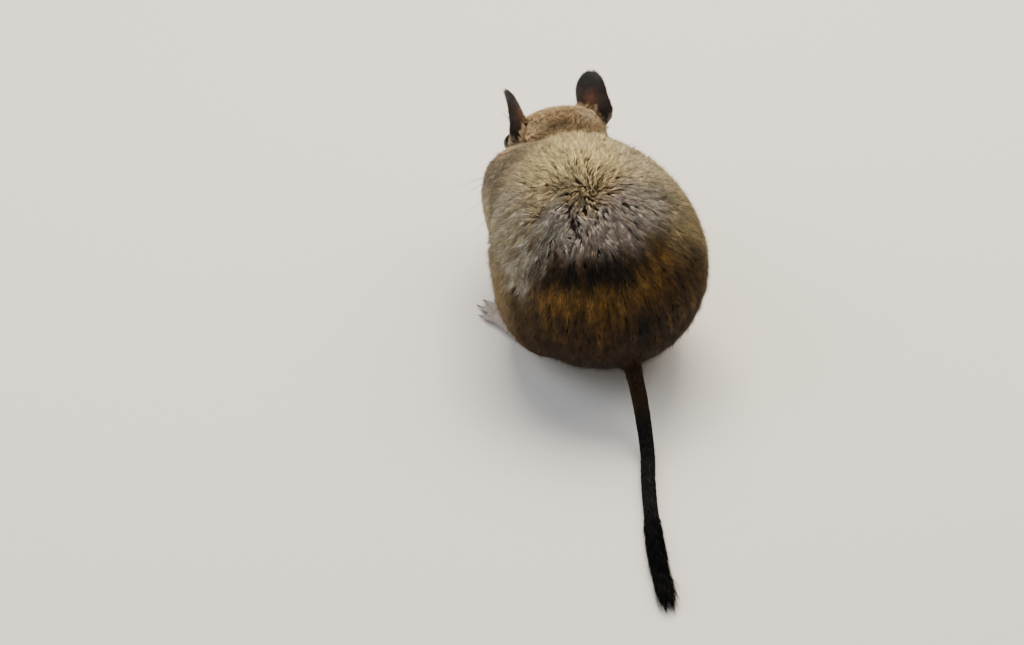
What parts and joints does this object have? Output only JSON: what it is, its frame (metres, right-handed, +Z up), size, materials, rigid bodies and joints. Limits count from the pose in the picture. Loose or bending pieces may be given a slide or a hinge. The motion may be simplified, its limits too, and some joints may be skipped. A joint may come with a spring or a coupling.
{
  "type": "degu",
  "caption": "Crouched degu on all fours with its head lowered to feed, ears up, and its brush-tipped tail laid out behind it on the floor.",
  "frame": {"origin": "on the floor under the middle of the whole bounding box", "axes": "+Y the way the body faces, +X its right side, +Z up; the tail runs back along -Y"},
  "size_m": [0.0884, 0.2512, 0.0884],
  "materials": {
    "coat": "short soft fur",
    "ear_skin": "thin soft skin",
    "foot_skin": "fine hair on skin",
    "eye": "wet gloss",
    "tail_hair": "coarse hair"
  },
  "bodies": {
    "root": {"torso": "coat", "neck": "coat", "head": "coat", "ear_left": "ear_skin", "ear_right": "ear_skin", "eye_left": "eye", "eye_right": "eye", "hindleg_left": "coat", "hindleg_right": "coat", "hindfoot_left": "foot_skin", "hindfoot_right": "foot_skin", "foreleg_left": "coat", "foreleg_right": "coat", "forepaw_left": "foot_skin", "forepaw_right": "foot_skin", "tail_base": "tail_hair", "tail_middle": "tail_hair", "tail_brush": "tail_hair"}
  },
  "joints": []
}
